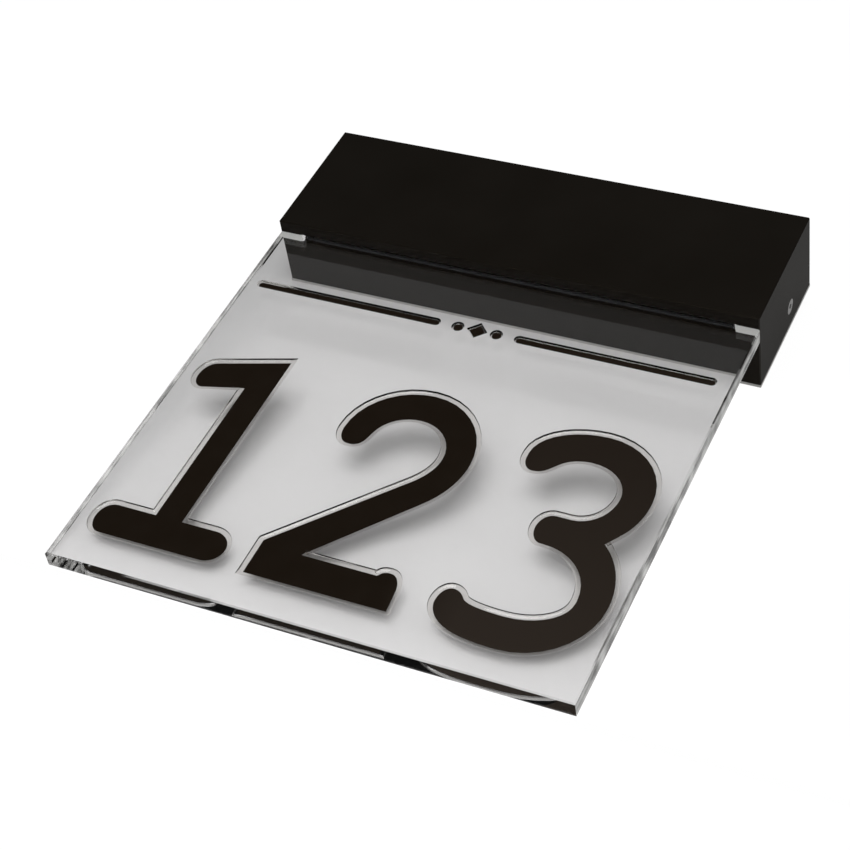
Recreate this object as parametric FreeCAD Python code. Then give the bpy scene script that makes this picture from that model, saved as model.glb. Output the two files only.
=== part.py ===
import FreeCAD, Part
import math
import os

# An edge-lit house number sign, upright as it hangs on a wall. A box housing holds the light, and a clear
# plate hangs from a slot in its underside.
# Millimetres. X to the right, Y into the wall, Z up. The wall is the plane Y = 0, and the origin is the
# middle of the line between the two wall fixings, on the back of the wall plate.

# --- Driving dimensions ---------------------------------------------------------------------------------

sign_width = 240.0  # housing and number plate are equally wide
housing_height = 72.0
housing_depth = 42.0  # off the wall, with the wall plate
fixings_below_top = 36.0  # line of the wall fixings
cover_sheet = 2.0
cover_edge_break = 0.5  # bevel ground on the welded outer edges

plate_drop = 217.0  # visible height of the number plate
plate_thick = 8.0
plate_setback = 6.4  # plate front behind the housing's front
plate_bevel = 0.6
tongue_depth = 23.0  # part of the plate inside the housing
shoulder = 13.0  # at each end, butts on the housing
root_radius = 3.0  # milled inner corner between tongue and shoulder

slide_gap = 0.1  # between flat faces that slide on each other
clear_gap = 0.3  # round pieces that only pass each other
thread_gap = 0.05  # between a screw and its nut

wall_sheet = 1.5
fixing_from_end = 25.0  # sign's end to the middle of a wall fixing
fixing_slot_width = 5.2
fixing_slot_length = 12.0
fixing_room = 15.0  # kept free beside a fixing for its screw head

bracket_sheet = 1.5
bracket_width = 30.0
bracket_leg = 22.5
bracket_foot = 14.0
bracket_bend = 1.0  # inner radius
side_screw_up = 43.0  # above the housing's underside
side_screw_off_wall = 12.0
side_screw_length = 10.0
side_screw_head = 7.5

seal_width = 4.0
seal_thick = 3.0
slot_seal_width = 3.0
slot_seal_thick = 2.0

rail_wall = 2.0
rail_flange = 3.0  # rear flange, thick enough for threads
rail_end_room = 10.0  # from the cover's end wall
rail_rise = 18.0  # front leaf above the web
rail_stud_length = 8.0
rail_stud_below_top = 7.0
rail_stud_spacing = 96.0
wire_hole = 7.0

led_gap = 0.6  # from the plate's edge to the LEDs
led_tall = 0.8
led_long = 3.5
led_wide = 2.8
led_pitch = 8.33
led_rim = 0.45  # white wall round the LED's window
led_window = 0.15
board_width = 10.0
board_thick = 1.5
board_end_room = 4.0  # board ends before the tongue does
tape_thick = 0.3

clamp_pad_thick = 1.0
clamp_bar_thick = 3.0
clamp_bar_width = 10.0
clamp_travel = 0.6
clamp_end_room = 5.0
clamp_screw_count = 4
clamp_screw_length = 8.0

driver_length = 80.0
driver_height = 30.0
driver_depth = 16.0
driver_wall = 1.5
driver_lug = 8.0
driver_lug_thick = 3.0
driver_below_seal = 1.0
driver_board_thick = 1.6
driver_board_off_floor = 3.0
driver_post = 4.0  # post under each corner of the board
lid_rim = 1.2
lid_rim_depth = 1.5
transformer_width = 16.0
transformer_height = 14.0
winding_height = 18.0
capacitor_diameter = 9.0
choke_diameter = 8.0
output_diameter = 7.0
part_gap = 1.5  # between parts on the driver's board
socket_from_end = 12.0
plug_wide = 7.0
plug_tall = 5.0
plug_length = 11.5
plug_inserted = 7.5
plug_grip = 0.8  # ridge on each side, for the fingers
socket_wall = 1.4

lead_diameter = 2.4
lead_bend = 2.1  # radius of a lead's centre line
lead_loop_height = 3.5  # above the terminal block, where a lead turns
led_lead_diameter = 1.4
led_lead_pitch = 2.6
led_lead_bend = 1.8

terminal_from_fixing = 9.0
terminal_pitch = 10.0
terminal_height = 20.0
terminal_depth = 17.0
terminal_below_seal = 6.0  # room for the leads' loops
terminal_lug = 7.0
terminal_lug_thick = 4.0
cage_width = 6.0
cage_bore = 3.6
terminal_screw_diameter = 3.0
terminal_screw_head = 4.4
terminal_crown = 3.0  # bevel along the block's front edges
terminal_groove = 1.2  # parting groove between poles
terminal_groove_depth = 4.0
screw_slot = 0.8

cable_diameter = 9.0
cable_hole = 14.0
grommet_flange = 18.0
grommet_flange_thick = 2.5
grommet_nose = 2.0
relief_width = 30.0
relief_height = 8.0
relief_arch = 3.0
relief_stud_spacing = 20.0

m4 = 4.0
m4_nut_flats = 7.0
m4_nut_thick = 3.2
m4_socket = 2.5
m4_washer = 9.0
m4_washer_thick = 0.8
m3 = 3.0
m3_nut_flats = 5.5
m3_nut_thick = 2.4
stud_stand_out = 1.0  # stud end beyond its nut

earth_stud_room = 1.0  # between its lug and the end bracket's foot
earth_stud_below_seal = 15.5
earth_lug_thick = 1.0
earth_barrel = 3.8
earth_barrel_length = 5.0

# --- Places worked out from them ------------------------------------------------------------------------

half = sign_width / 2
top = fixings_below_top
underside = top - housing_height
front = -housing_depth
base = -wall_sheet  # front face of the wall plate
inner_half = half - cover_sheet
inner_top = top - cover_sheet
inner_under = underside + cover_sheet
inner_front = front + cover_sheet
fixing_x = half - fixing_from_end
seal_half = inner_half - clear_gap
seal_top = inner_top - clear_gap
seal_under = inner_under + clear_gap
under_seal = seal_top - seal_width  # free height inside the seal, from here
over_seal = seal_under + seal_width  # down to here

plate_front = front + plate_setback
plate_back = plate_front + plate_thick
plate_middle = (plate_front + plate_back) / 2
tongue_half = half - shoulder
tongue_top = underside + tongue_depth
slot_half = tongue_half + root_radius + clear_gap

board_under = tongue_top + led_gap + led_tall
board_top = board_under + board_thick
web_under = board_top + tape_thick
web_top = web_under + rail_wall
leaf_top = web_top + rail_rise
rail_foot = inner_under + slot_seal_thick + clear_gap
rail_half = inner_half - rail_end_room
leaf_back = inner_front + rail_wall
clamp_pad_front = plate_back + slide_gap
clamp_bar_front = clamp_pad_front + clamp_pad_thick
clamp_bar_back = clamp_bar_front + clamp_bar_thick
flange_front = clamp_bar_back + clamp_travel
flange_back = flange_front + rail_flange
clamp_height = (rail_foot + tongue_top) / 2
clamp_half = tongue_half - clamp_end_room
board_half = tongue_half - board_end_room
rail_stud_z = leaf_top - rail_stud_below_top

side_screw_z = underside + side_screw_up
side_screw_y = -side_screw_off_wall
bracket_face = inner_half - slide_gap  # outer face of a bracket's leg
side_nut_face = bracket_face - bracket_sheet - slide_gap

driver_right = fixing_x - fixing_room - driver_lug
driver_left = driver_right - driver_length
driver_top = under_seal - driver_below_seal
driver_under = driver_top - driver_height
driver_middle = (driver_top + driver_under) / 2
driver_front = base - driver_depth
driver_board_y = base - driver_wall - driver_board_off_floor - driver_board_thick
lid_front = driver_front - driver_wall
plug_x = driver_right - socket_from_end
plug_z = driver_under + driver_wall + socket_wall + plug_tall / 2 + clear_gap
plug_end = lid_front + plug_inserted
plug_front = plug_end - plug_length

terminal_top = under_seal - terminal_below_seal
terminal_under = terminal_top - terminal_height
terminal_middle = (terminal_top + terminal_under) / 2
terminal_half = 1.5 * terminal_pitch
terminal_centre = terminal_from_fixing + terminal_lug + terminal_half - fixing_x
cage_y = base - terminal_depth / 2
pole_x = [terminal_centre + step * terminal_pitch for step in (-1, 0, 1)]
terminal_stud = terminal_half + terminal_lug / 2

column_gap = (terminal_under - over_seal - relief_height - grommet_flange) / 3  # shared by what stands below
relief_z = terminal_under - column_gap - relief_height / 2
grommet_z = over_seal + column_gap + grommet_flange / 2
relief_front = base - cable_diameter - relief_arch
earth_stud_x = bracket_foot + earth_stud_room + m4_washer / 2 - bracket_face
earth_stud_z = under_seal - earth_stud_below_seal
earth_barrel_y = base - earth_barrel / 2
earth_barrel_z = earth_stud_z + m4_washer / 2 + earth_barrel_length
mirrored = (-1, 1)


def at(x, y, z):
    return FreeCAD.Vector(x, y, z)


def block(x, y, z):
    """A box from three (low, high) pairs."""
    return Part.makeBox(x[1] - x[0], y[1] - y[0], z[1] - z[0], at(x[0], y[0], z[0]))


def rod(diameter, start, end):
    """A round bar between two points."""
    way = end - start
    return Part.makeCylinder(diameter / 2, way.Length, start, way)


def cone(wide, narrow, start, end):
    way = end - start
    return Part.makeCone(wide / 2, narrow / 2, way.Length, start, way)


def hexagon(flats, start, end):
    """A hexagonal bar between two points, with two corners up and down or fore and aft."""
    way = end - start
    ring = []
    for side in range(6):
        turn = math.radians(60 * side)
        across, along = flats / math.sqrt(3) * math.cos(turn), flats / math.sqrt(3) * math.sin(turn)
        if abs(way.x) > 0:
            ring.append(start + at(0, across, along))
        else:
            ring.append(start + at(along, 0, across))
    return Part.Face(Part.makePolygon(ring + ring[:1])).extrude(way)


def nut(flats, bore, start, end):
    """A plain hexagon nut."""
    way = end - start
    return hexagon(flats, start, end).cut(rod(bore, start - way, end + way))


def along_x(outline, low, high):
    """Extrudes an outline of (y, z) points from low to high X."""
    ring = [at(low, y, z) for y, z in outline]
    return Part.Face(Part.makePolygon(ring + ring[:1])).extrude(at(high - low, 0, 0))


def lead(diameter, points, bend):
    """An insulated lead: straight runs joined by tangent bends of one radius."""
    pieces, start = [], points[0]
    for before, corner, after in zip(points, points[1:], points[2:]):
        into = (corner - before).normalize()
        out = (after - corner).normalize()
        turn = into.getAngle(out)
        reach = bend * math.tan(turn / 2)
        bend_start = corner - into * reach
        hub = corner + (out - into).normalize() * (bend / math.cos(turn / 2))
        section = Part.Face(Part.Wire(Part.makeCircle(diameter / 2, bend_start, into)))
        pieces.append(rod(diameter, start, bend_start))
        pieces.append(section.revolve(hub, into.cross(out), math.degrees(turn)))
        start = corner + out * reach
    pieces.append(rod(diameter, start, points[-1]))
    return pieces[0].fuse(pieces[1:])


def row(count, spread):
    """Places of a row of copies, evenly spaced and centred on zero."""
    return [spread * (step / (count - 1) - 0.5) for step in range(count)]


# --- Wall plate and what is fixed to it -----------------------------------------------------------------


def driver_stud_places():
    return [(driver_left - driver_lug / 2, driver_middle), (driver_right + driver_lug / 2, driver_middle)]


def terminal_stud_places():
    return [(terminal_centre + side * terminal_stud, terminal_middle) for side in mirrored]


def relief_stud_places():
    return [(terminal_centre + side * relief_stud_spacing / 2, relief_z) for side in mirrored]


def m3_seats():
    """Each M3 stud's place and the front face that its nut sits on."""
    seats = [(x, z, base - driver_lug_thick) for x, z in driver_stud_places()]
    seats += [(x, z, base - terminal_lug_thick) for x, z in terminal_stud_places()]
    return seats + [(x, z, relief_front) for x, z in relief_stud_places()]


def wall_plate():
    plate = block((-half, half), (base, 0), (underside, top))
    straight = fixing_slot_length - fixing_slot_width
    for side in mirrored:
        x = side * fixing_x
        slot = block((x - straight / 2, x + straight / 2), (base - 1, 1),
                     (-fixing_slot_width / 2, fixing_slot_width / 2))
        for end in mirrored:
            end_x = x + end * straight / 2
            slot = slot.fuse(rod(fixing_slot_width, at(end_x, base - 1, 0), at(end_x, 1, 0)))
        plate = plate.cut(slot)
    hole = rod(cable_hole, at(terminal_centre, base - 1, grommet_z), at(terminal_centre, 1, grommet_z))
    plate = plate.cut(hole)
    for x, z, seat in m3_seats():
        end = seat - m3_nut_thick - stud_stand_out
        plate = plate.fuse(rod(m3, at(x, base, z), at(x, end, z)))
    earth_end = base - earth_lug_thick - m4_nut_thick - stud_stand_out
    earth_stud = rod(m4, at(earth_stud_x, base, earth_stud_z), at(earth_stud_x, earth_end, earth_stud_z))
    return plate.fuse(earth_stud)


def end_brackets():
    """Angle brackets spot-welded to the wall plate. Each leg has a slot that is open to the front."""
    brackets = []
    outer_bend = bracket_bend + bracket_sheet
    for side in mirrored:
        foot = block((bracket_face - bracket_foot, bracket_face), (base - bracket_sheet, base),
                     (side_screw_z - bracket_width / 2, side_screw_z + bracket_width / 2))
        leg = block((bracket_face - bracket_sheet, bracket_face), (base - bracket_leg, base),
                    (side_screw_z - bracket_width / 2, side_screw_z + bracket_width / 2))
        filler = block((bracket_face - outer_bend, bracket_face), (base - outer_bend, base),
                       (side_screw_z - bracket_width / 2, side_screw_z + bracket_width / 2))
        angle = foot.fuse([leg, filler]).removeSplitter()
        heel = [e for e in angle.Edges if e.Length > bracket_width - 1 and
                abs(e.CenterOfMass.x - bracket_face) < 0.01 and abs(e.CenterOfMass.y - base) < 0.01]
        angle = angle.makeFillet(outer_bend, heel)
        bend_x, bend_y = bracket_face - outer_bend, base - outer_bend
        hollow = rod(bracket_bend * 2, at(bend_x, bend_y, side_screw_z - bracket_width),
                     at(bend_x, bend_y, side_screw_z + bracket_width))
        angle = angle.cut(hollow)
        slot_width = m4 + 2 * clear_gap
        slot = block((bracket_face - 5, bracket_face + 1), (base - bracket_leg - 1, side_screw_y),
                     (side_screw_z - slot_width / 2, side_screw_z + slot_width / 2))
        slot = slot.fuse(rod(slot_width, at(bracket_face - 5, side_screw_y, side_screw_z),
                             at(bracket_face + 1, side_screw_y, side_screw_z)))
        angle = angle.cut(slot)
        if side < 0:
            angle = angle.mirror(at(0, 0, 0), at(1, 0, 0))
        brackets.append(angle)
    return Part.makeCompound(brackets)


def cover_seal():
    """Foam strip on the wall plate, just inside the cover, left open at the end brackets."""
    strip = block((-seal_half, seal_half), (base - seal_thick, base), (seal_under, seal_top))
    inside = seal_half - seal_width
    strip = strip.cut(block((-inside, inside), (base - seal_thick - 1, base + 1),
                            (seal_under + seal_width, under_seal)))
    room = bracket_width / 2 + clear_gap
    for side in mirrored:
        ends = sorted((side * (seal_half - seal_width - 1), side * (half + 1)))
        strip = strip.cut(block(ends, (base - seal_thick - 1, base + 1),
                                (side_screw_z - room, side_screw_z + room)))
    return strip


def cable_grommet():
    x, z = terminal_centre, grommet_z
    flange_face = base - grommet_flange_thick
    body = rod(cable_hole - 2 * thread_gap, at(x, 0, z), at(x, base, z))
    flange = rod(grommet_flange, at(x, base, z), at(x, flange_face, z))
    nose = cone(cable_diameter + 5, cable_diameter + 2.4, at(x, flange_face, z),
                at(x, flange_face - grommet_nose, z))
    solid = body.fuse([flange, nose])
    return solid.cut(rod(cable_diameter, at(x, 1, z), at(x, flange_face - grommet_nose - 1, z)))


def strain_relief():
    """A saddle that arches over the cable and is drawn down by two nuts."""
    x_low, x_high = terminal_centre - relief_width / 2, terminal_centre + relief_width / 2
    z_low, z_high = relief_z - relief_height / 2, relief_z + relief_height / 2
    saddle = block((x_low, x_high), (relief_front, base), (z_low, z_high))
    cable_y = base - cable_diameter / 2
    arch = rod(cable_diameter, at(terminal_centre, cable_y, z_low - 1),
               at(terminal_centre, cable_y, z_high + 1))
    below_arch = block((terminal_centre - cable_diameter / 2, terminal_centre + cable_diameter / 2),
                       (cable_y, base + 1), (z_low - 1, z_high + 1))
    saddle = saddle.cut(arch.fuse(below_arch))
    for x, z in relief_stud_places():
        saddle = saddle.cut(rod(m3 + 2 * clear_gap, at(x, base + 1, z), at(x, relief_front - 1, z)))
    return saddle


def terminal_block():
    """Three-pole block: a tunnel for each cage, a screw shaft into it, and a lug at each end."""
    body_front = base - terminal_depth
    block_low, block_high = terminal_centre - terminal_half, terminal_centre + terminal_half
    crown = terminal_crown
    outline = [(base, terminal_under), (body_front + crown, terminal_under),
               (body_front, terminal_under + crown), (body_front, terminal_top - crown),
               (body_front + crown, terminal_top), (base, terminal_top)]
    body = along_x(outline, block_low, block_high)
    lugs = block((block_low - terminal_lug, block_high + terminal_lug), (base - terminal_lug_thick, base),
                 (terminal_middle - terminal_lug, terminal_middle + terminal_lug))
    body = body.fuse(lugs)
    for x, z in terminal_stud_places():
        body = body.cut(rod(m3 + 2 * clear_gap, at(x, base + 1, z), at(x, base - terminal_lug_thick - 1, z)))
    for x in pole_x:
        tunnel = cage_width / 2 + slide_gap
        body = body.cut(block((x - tunnel, x + tunnel), (cage_y - tunnel, cage_y + tunnel),
                              (terminal_under - 1, terminal_top + 1)))
        for z in terminal_screw_heights():
            body = body.cut(rod(terminal_screw_head + 2 * slide_gap, at(x, cage_y, z),
                                at(x, body_front - 1, z)))
    for x in (pole_x[0] + terminal_pitch / 2, pole_x[1] + terminal_pitch / 2):
        body = body.cut(block((x - terminal_groove / 2, x + terminal_groove / 2),
                              (body_front - 1, body_front + terminal_groove_depth),
                              (terminal_under - 1, terminal_top + 1)))
    return body


def terminal_screw_heights():
    return (terminal_middle - terminal_height / 4, terminal_middle + terminal_height / 4)


def terminal_cages():
    cages = []
    for x in pole_x:
        side = cage_width / 2
        cage = block((x - side, x + side), (cage_y - side, cage_y + side),
                     (terminal_under + 1, terminal_top - 1))
        cage = cage.cut(rod(cage_bore, at(x, cage_y, terminal_under), at(x, cage_y, terminal_top)))
        for z in terminal_screw_heights():
            cage = cage.cut(rod(terminal_screw_diameter + 2 * thread_gap, at(x, cage_y, z),
                                at(x, cage_y - cage_width, z)))
        cages.append(cage)
    return Part.makeCompound(cages)


def terminal_screws():
    """Cheese-head screws that press on the conductors, their slots level."""
    screws = []
    head_back = cage_y - cage_width / 2 - slide_gap
    head_front = head_back - 2.0
    tip = cage_y - cage_bore / 2 + 0.4
    for x in pole_x:
        for z in terminal_screw_heights():
            screw = rod(terminal_screw_diameter, at(x, tip, z), at(x, head_back, z))
            screw = screw.fuse(rod(terminal_screw_head, at(x, head_back, z), at(x, head_front, z)))
            slot = block((x - terminal_screw_head, x + terminal_screw_head),
                         (head_front - 1, head_front + screw_slot),
                         (z - screw_slot / 2, z + screw_slot / 2))
            screws.append(screw.cut(slot))
    return Part.makeCompound(screws)


def stud_nuts():
    bore = m3 + 2 * thread_gap
    return Part.makeCompound([nut(m3_nut_flats, bore, at(x, seat, z), at(x, seat - m3_nut_thick, z))
                              for x, z, seat in m3_seats()])


def earth_lug():
    """Crimp lug: a ring under the nut and a barrel for the lead."""
    ring_face = base - earth_lug_thick
    ring = rod(m4_washer, at(earth_stud_x, base, earth_stud_z), at(earth_stud_x, ring_face, earth_stud_z))
    neck = block((earth_stud_x - earth_barrel / 2, earth_stud_x + earth_barrel / 2), (ring_face, base),
                 (earth_stud_z, earth_barrel_z - earth_barrel_length + 1))
    barrel = rod(earth_barrel, at(earth_stud_x, earth_barrel_y, earth_barrel_z - earth_barrel_length),
                 at(earth_stud_x, earth_barrel_y, earth_barrel_z))
    lug = ring.fuse([neck, barrel])
    lug = lug.cut(rod(m4 + 2 * clear_gap, at(earth_stud_x, base + 1, earth_stud_z),
                      at(earth_stud_x, ring_face - earth_barrel, earth_stud_z)))
    bore = rod(lead_diameter + 2 * thread_gap,
               at(earth_stud_x, earth_barrel_y, earth_barrel_z - earth_barrel_length + 1),
               at(earth_stud_x, earth_barrel_y, earth_barrel_z + 1))
    return lug.cut(bore)


def earth_nut():
    seat = base - earth_lug_thick
    return nut(m4_nut_flats, m4 + 2 * thread_gap, at(earth_stud_x, seat, earth_stud_z),
               at(earth_stud_x, seat - m4_nut_thick, earth_stud_z))


def lead_in_cage(x):
    """Where a lead ends in a pole, and the point just above the block where it is free to turn."""
    return at(x, cage_y, terminal_middle + 1), at(x, cage_y, terminal_top + lead_loop_height)


def earth_lead():
    end, above = lead_in_cage(pole_x[0])
    over_lug = at(earth_stud_x, earth_barrel_y, above.z)
    in_barrel = at(earth_stud_x, earth_barrel_y, earth_barrel_z - 3)
    return lead(lead_diameter, [end, above, over_lug, in_barrel], lead_bend)


def driver_entries():
    """Where the two mains leads pass the driver's left wall."""
    height = driver_middle + driver_height / 4
    depth = driver_board_y - driver_wall - lead_diameter
    return [at(driver_left, depth, height), at(driver_left, depth, height - 2 * lead_diameter)]


def mains_leads():
    leads = []
    for x, entry, fall in zip(pole_x[1:], reversed(driver_entries()), (2 * lead_diameter, 0)):
        end, above = lead_in_cage(x)
        turn = at((entry.x + terminal_centre + terminal_half) / 2 - fall, cage_y, above.z)
        if fall:
            turn = turn + at(0, -fall, 0)
        run = [end, above, turn, at(turn.x, entry.y, entry.z), entry + at(driver_wall + 1, 0, 0)]
        leads.append(lead(lead_diameter, run, lead_bend))
    return Part.makeCompound(leads)


def driver_case():
    """Open tray with a lug at each end."""
    tray = block((driver_left, driver_right), (driver_front, base), (driver_under, driver_top))
    tray = tray.cut(block((driver_left + driver_wall, driver_right - driver_wall),
                          (driver_front - 1, base - driver_wall),
                          (driver_under + driver_wall, driver_top - driver_wall)))
    lugs = block((driver_left - driver_lug, driver_right + driver_lug), (base - driver_lug_thick, base),
                 (driver_middle - driver_lug, driver_middle + driver_lug))
    lugs = lugs.cut(block((driver_left + 0.5, driver_right - 0.5), (base - driver_lug_thick - 1, base + 1),
                          (driver_under, driver_top)))
    tray = tray.fuse(lugs)
    for x, z in driver_stud_places():
        tray = tray.cut(rod(m3 + 2 * clear_gap, at(x, base + 1, z), at(x, base - driver_lug_thick - 1, z)))
    for entry in driver_entries():
        tray = tray.cut(rod(lead_diameter + 2 * slide_gap, entry - at(1, 0, 0),
                            entry + at(driver_wall + 1, 0, 0)))
    for x in driver_post_places():
        for z in driver_post_heights():
            tray = tray.fuse(rod(driver_post, at(x, base - driver_wall, z),
                                 at(x, driver_board_y + driver_board_thick, z)))
    return tray


def driver_post_places():
    inset = driver_wall + driver_post
    return (driver_left + inset, driver_right - inset)


def driver_post_heights():
    inset = driver_wall + driver_post
    return (driver_under + inset, driver_top - inset)


def driver_lid():
    """Flat lid with a locating rim inside the tray and an opening for the output socket."""
    lid = block((driver_left, driver_right), (lid_front, driver_front), (driver_under, driver_top))
    rim_x = (driver_left + driver_wall + slide_gap, driver_right - driver_wall - slide_gap)
    rim_z = (driver_under + driver_wall + slide_gap, driver_top - driver_wall - slide_gap)
    rim = block(rim_x, (driver_front, driver_front + lid_rim_depth), rim_z)
    rim = rim.cut(block((rim_x[0] + lid_rim, rim_x[1] - lid_rim),
                        (driver_front - 1, driver_front + lid_rim_depth + 1),
                        (rim_z[0] + lid_rim, rim_z[1] - lid_rim)))
    lid = lid.fuse(rim)
    reach_x = plug_wide / 2 + socket_wall + clear_gap
    reach_z = plug_tall / 2 + socket_wall + clear_gap
    return lid.cut(block((plug_x - reach_x, plug_x + reach_x),
                         (lid_front - 1, driver_front + lid_rim_depth + 1),
                         (plug_z - reach_z, plug_z + reach_z)))


def driver_board():
    return block((driver_left + driver_wall + clear_gap, driver_right - driver_wall - clear_gap),
                 (driver_board_y, driver_board_y + driver_board_thick),
                 (driver_under + driver_wall + clear_gap, driver_top - driver_wall - clear_gap))


def driver_parts():
    """Transformer, mains capacitor, choke and output capacitor on the driver's board."""
    face = driver_board_y
    room = face - driver_front - lid_rim_depth - clear_gap  # free depth above the board
    middle = (driver_left + driver_right) / 2
    core = block((middle - transformer_width / 2, middle + transformer_width / 2), (face - room * 0.9, face),
                 (driver_middle - transformer_height / 2, driver_middle + transformer_height / 2))
    winding = block((middle - transformer_width / 3, middle + transformer_width / 3),
                    (face - room * 0.8, face - room * 0.2),
                    (driver_middle - winding_height / 2, driver_middle + winding_height / 2))
    capacitor_x = middle - transformer_width / 2 - part_gap - capacitor_diameter / 2
    capacitor = rod(capacitor_diameter, at(capacitor_x, face, driver_middle),
                    at(capacitor_x, face - room * 0.9, driver_middle))
    choke_x = capacitor_x - capacitor_diameter / 2 - part_gap - choke_diameter / 2
    choke_z = driver_under + driver_wall + clear_gap + part_gap + choke_diameter / 2
    choke = rod(choke_diameter, at(choke_x, face, choke_z), at(choke_x, face - room * 0.6, choke_z))
    output_x = middle + transformer_width / 2 + part_gap + output_diameter / 2
    output_z = driver_middle + output_diameter / 2
    output = rod(output_diameter, at(output_x, face, output_z), at(output_x, face - room * 0.8, output_z))
    return Part.makeCompound([core.fuse(winding), capacitor, choke, output])


def driver_socket():
    """Two-pole output socket that stands on the board and reaches the lid's opening."""
    wide, tall = plug_wide + 2 * slide_gap, plug_tall + 2 * slide_gap
    shell = block((plug_x - wide / 2 - socket_wall, plug_x + wide / 2 + socket_wall),
                  (lid_front, driver_board_y),
                  (plug_z - tall / 2 - socket_wall, plug_z + tall / 2 + socket_wall))
    return shell.cut(block((plug_x - wide / 2, plug_x + wide / 2), (lid_front - 1, plug_end + clear_gap),
                           (plug_z - tall / 2, plug_z + tall / 2)))


# --- Housing cover and what it carries ------------------------------------------------------------------


def housing_cover():
    """Welded box, open at the back, with the plate's slot in its underside and weld studs for the rail."""
    shell = block((-half, half), (front, base), (underside, top))
    outer = [e for e in shell.Edges if abs(e.CenterOfMass.y - base) > 1e-6]
    shell = shell.makeChamfer(cover_edge_break, outer)
    shell = shell.cut(block((-inner_half, inner_half), (inner_front, base + 1), (inner_under, inner_top)))
    shell = shell.cut(block((-slot_half, slot_half), (plate_front - clear_gap, plate_back + clear_gap),
                            (underside - 1, inner_under + 1)))
    for side in mirrored:
        outside, inside = side * half, side * inner_half
        head_end = side * (half - (side_screw_head - m4) / 2)
        shell = shell.cut(rod(m4 + 2 * clear_gap, at(side * (half + 1), side_screw_y, side_screw_z),
                              at(inside - side, side_screw_y, side_screw_z)))
        shell = shell.cut(cone(side_screw_head + 2 * slide_gap, m4 + 2 * slide_gap,
                               at(outside, side_screw_y, side_screw_z),
                               at(head_end, side_screw_y, side_screw_z)))
    for x in rail_stud_places():
        shell = shell.fuse(rod(m4, at(x, inner_front, rail_stud_z),
                               at(x, inner_front + rail_stud_length, rail_stud_z)))
    return shell


def rail_stud_places():
    return (-rail_stud_spacing, 0, rail_stud_spacing)


def side_screws():
    """Countersunk screws with a hexagon socket, one in each end of the cover."""
    screws = []
    for side in mirrored:
        outside = side * (half - slide_gap)
        head_end = outside - side * (side_screw_head - m4) / 2
        tip = outside - side * side_screw_length
        screw = cone(side_screw_head, m4, at(outside, side_screw_y, side_screw_z),
                     at(head_end, side_screw_y, side_screw_z))
        screw = screw.fuse(rod(m4, at(head_end, side_screw_y, side_screw_z),
                               at(tip, side_screw_y, side_screw_z)))
        screws.append(screw.cut(hexagon(m4_socket, at(outside + side, side_screw_y, side_screw_z),
                                        at(outside - side * 1.6, side_screw_y, side_screw_z))))
    return Part.makeCompound(screws)


def side_nuts():
    return Part.makeCompound([nut(m4_nut_flats, m4 + 2 * thread_gap,
                                  at(side * side_nut_face, side_screw_y, side_screw_z),
                                  at(side * (side_nut_face - m4_nut_thick), side_screw_y, side_screw_z))
                              for side in mirrored])


def light_rail():
    """Extruded aluminium section: a tall front leaf on the cover, a web over the LEDs, a rear flange."""
    section = [(inner_front, rail_foot), (leaf_back, rail_foot), (leaf_back, web_under),
               (flange_front, web_under), (flange_front, rail_foot), (flange_back, rail_foot),
               (flange_back, web_top), (leaf_back, web_top), (leaf_back, leaf_top), (inner_front, leaf_top)]
    rail = along_x(section, -rail_half, rail_half)
    for x in rail_stud_places():
        rail = rail.cut(rod(m4 + 2 * clear_gap, at(x, inner_front - 1, rail_stud_z),
                            at(x, leaf_back + 1, rail_stud_z)))
    for x in clamp_screw_places():
        rail = rail.cut(rod(m4 + 2 * thread_gap, at(x, flange_front - 1, clamp_height),
                            at(x, flange_back + 1, clamp_height)))
    return rail.cut(rod(wire_hole, at(plug_x, plate_middle, web_under - 1),
                        at(plug_x, plate_middle, web_top + 1)))


def clamp_screw_places():
    return row(clamp_screw_count, 2 * clamp_half * 0.84)


def rail_nuts():
    nuts = []
    for x in rail_stud_places():
        washer_face = leaf_back + m4_washer_thick
        washer = rod(m4_washer, at(x, leaf_back, rail_stud_z), at(x, washer_face, rail_stud_z))
        washer = washer.cut(rod(m4 + 2 * clear_gap, at(x, leaf_back - 1, rail_stud_z),
                                at(x, washer_face + 1, rail_stud_z)))
        nuts.append(washer.fuse(nut(m4_nut_flats, m4 + 2 * thread_gap, at(x, washer_face, rail_stud_z),
                                    at(x, washer_face + m4_nut_thick, rail_stud_z))))
    return Part.makeCompound(nuts)


def thermal_tape():
    tape = block((-board_half, board_half), (plate_middle - board_width / 2, plate_middle + board_width / 2),
                 (board_top, web_under))
    return tape.cut(rod(wire_hole, at(plug_x, plate_middle, board_top - 1),
                        at(plug_x, plate_middle, web_under + 1)))


def led_board():
    return block((-board_half, board_half), (plate_middle - board_width / 2, plate_middle + board_width / 2),
                 (board_under, board_top))


def leds():
    """A row of surface-mounted LEDs, each with a shallow window recessed in its face."""
    count = int((2 * board_half - led_long) / led_pitch) + 1
    chips = []
    for x in row(count, (count - 1) * led_pitch):
        body = block((x - led_long / 2, x + led_long / 2),
                     (plate_middle - led_wide / 2, plate_middle + led_wide / 2),
                     (board_under - led_tall, board_under))
        window = block((x - led_long / 2 + led_rim, x + led_long / 2 - led_rim),
                       (plate_middle - led_wide / 2 + led_rim, plate_middle + led_wide / 2 - led_rim),
                       (board_under - led_tall - 1, board_under - led_tall + led_window))
        chips.append(body.cut(window))
    return Part.makeCompound(chips)


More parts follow.
